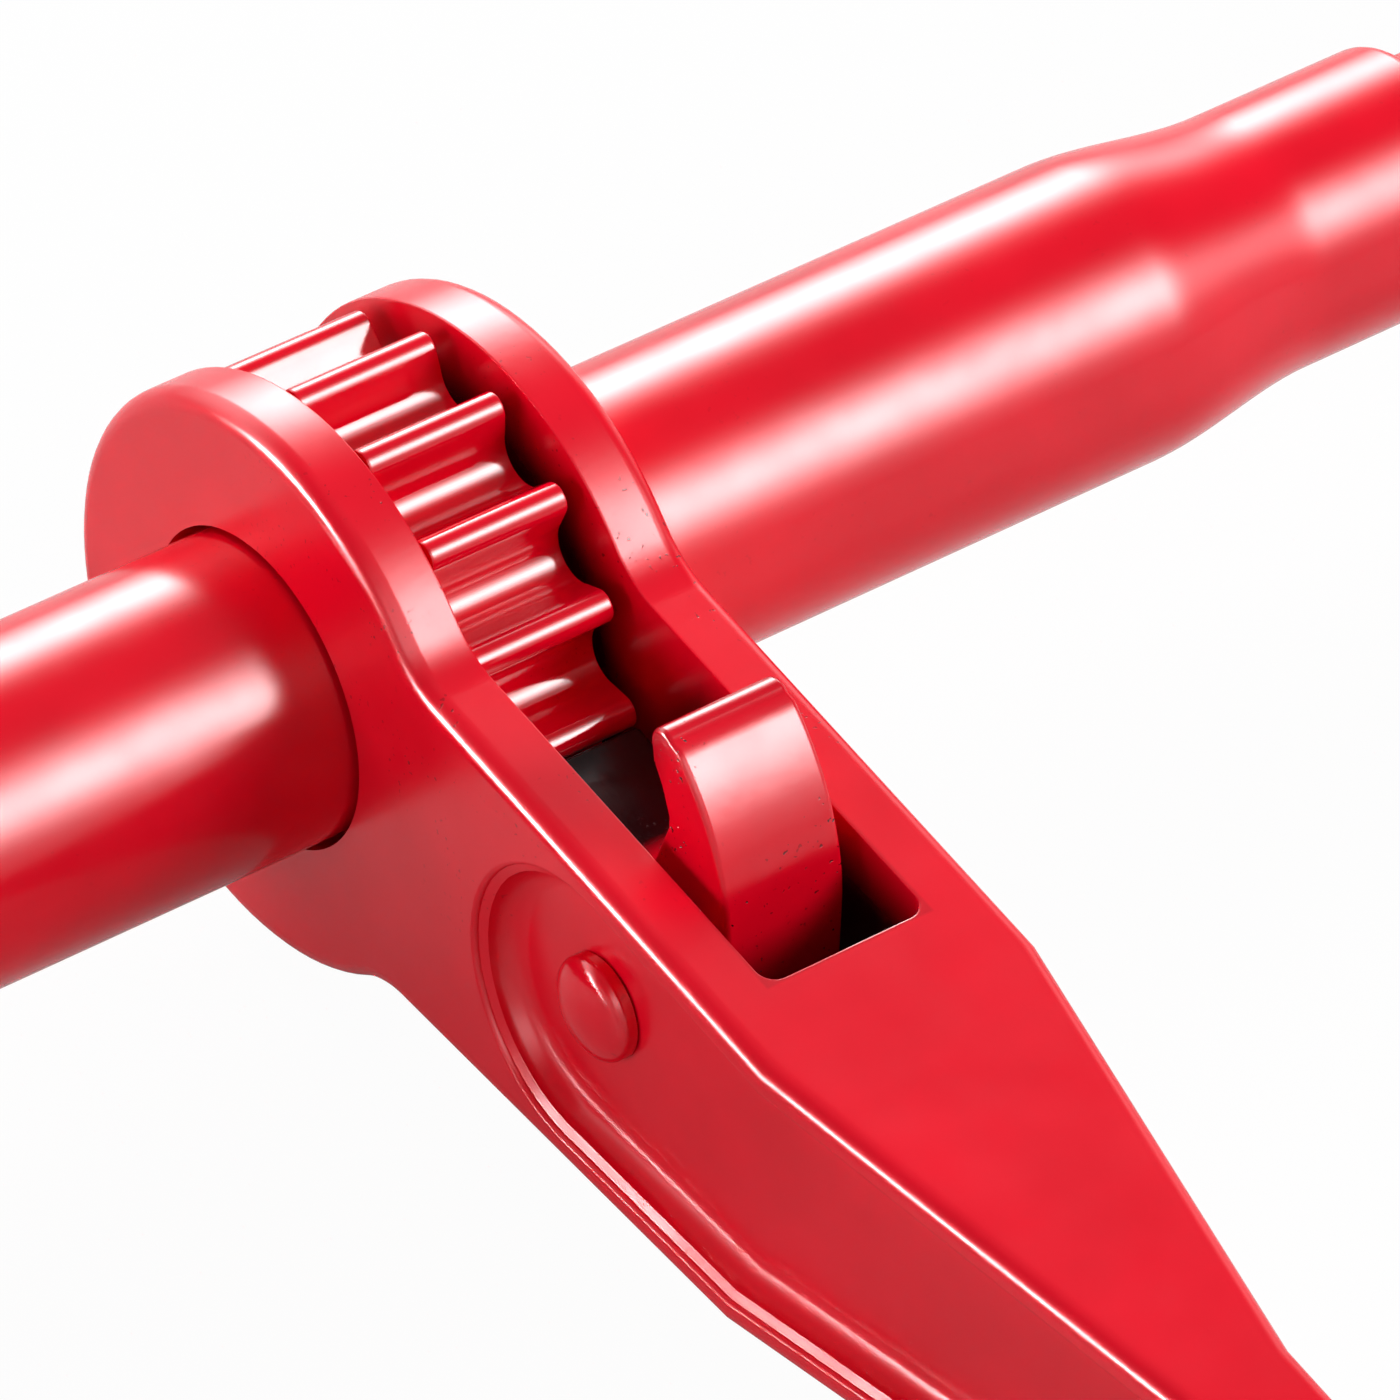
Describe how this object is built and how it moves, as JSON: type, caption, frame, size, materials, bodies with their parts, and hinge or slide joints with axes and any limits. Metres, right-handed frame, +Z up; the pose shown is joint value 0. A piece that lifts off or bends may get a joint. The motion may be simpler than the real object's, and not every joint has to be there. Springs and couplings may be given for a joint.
{
  "type": "ratchet load binder",
  "caption": "Red ratchet chain tensioner: a barrel with a scalloped gear, a forged fork handle with a two-way pawl, and an eye screw, link and grab hook on each end.",
  "frame": {"origin": "on the floor under the middle of the object's bounding box, as it lies with the handle's end down", "axes": "+X along the barrel towards its right end, -Y along the handle, +Z up"},
  "size_m": [0.738, 0.3838, 0.0869],
  "materials": {
    "barrel_paint": "gloss",
    "gear_paint": "gloss",
    "handle_paint": "gloss",
    "pawl_paint": "gloss",
    "pin_paint": "gloss",
    "plunger_zinc": "satin",
    "spring_steel": "satin",
    "screw_paint": "gloss",
    "stop_steel": "satin",
    "link_paint": "gloss",
    "hook_paint": "gloss"
  },
  "bodies": {
    "barrel": {"barrel_tube": "barrel_paint", "ratchet_gear": "gear_paint"},
    "handle": {"handle": "handle_paint", "pawl_pin": "pin_paint", "plunger_spring": "spring_steel"},
    "pawl": {"pawl": "pawl_paint"},
    "plunger": {"pawl_plunger": "plunger_zinc"},
    "right_screw": {"right_screw": "screw_paint", "right_stop_pin": "stop_steel"},
    "left_screw": {"left_screw": "screw_paint", "left_stop_pin": "stop_steel"},
    "right_link": {"right_link": "link_paint"},
    "left_link": {"left_link": "link_paint"},
    "right_hook": {"right_hook": "hook_paint"},
    "left_hook": {"left_hook": "hook_paint"}
  },
  "joints": [
    {"name": "handle_swing", "type": "hinge", "parent": "barrel", "child": "handle", "pos_m": [0, 0.15179, 0.04687], "axis": [-1, 0, 0], "continuous": true},
    {"name": "pawl_flip", "type": "hinge", "parent": "handle", "child": "pawl", "pos_m": [0, 0.08446, 0.04089], "axis": [-1, 0, 0], "range_deg": [-12, 14]},
    {"name": "plunger_push", "type": "slide", "parent": "handle", "child": "plunger", "axis": [0, -0.9961, -0.0885], "range_m": [0, 0.002], "stiffness_N_per_m": 500, "springref_m": -0.004},
    {"name": "right_screw_travel", "type": "slide", "parent": "barrel", "child": "right_screw", "axis": [1, 0, 0], "range_m": [0, 0.1]},
    {"name": "left_screw_travel", "type": "slide", "parent": "barrel", "child": "left_screw", "axis": [-1, 0, 0], "range_m": [0, 0.1]},
    {"name": "right_link_swing", "type": "hinge", "parent": "right_screw", "child": "right_link", "pos_m": [0.224, 0.15179, 0.04687], "axis": [0, 0, 1], "range_deg": [-60, 60]},
    {"name": "left_link_swing", "type": "hinge", "parent": "left_screw", "child": "left_link", "pos_m": [-0.224, 0.15179, 0.04687], "axis": [0, 0, 1], "range_deg": [-60, 60]},
    {"name": "right_hook_swing", "type": "hinge", "parent": "right_link", "child": "right_hook", "pos_m": [0.282, 0.15179, 0.04687], "axis": [0, 0, 1], "range_deg": [-60, 60]},
    {"name": "left_hook_swing", "type": "hinge", "parent": "left_link", "child": "left_hook", "pos_m": [-0.282, 0.15179, 0.04687], "axis": [0, 0, 1], "range_deg": [-60, 60]}
  ],
  "couplings": [
    {"joint": "left_screw_travel", "follows": "right_screw_travel", "ratio": 1}
  ]
}
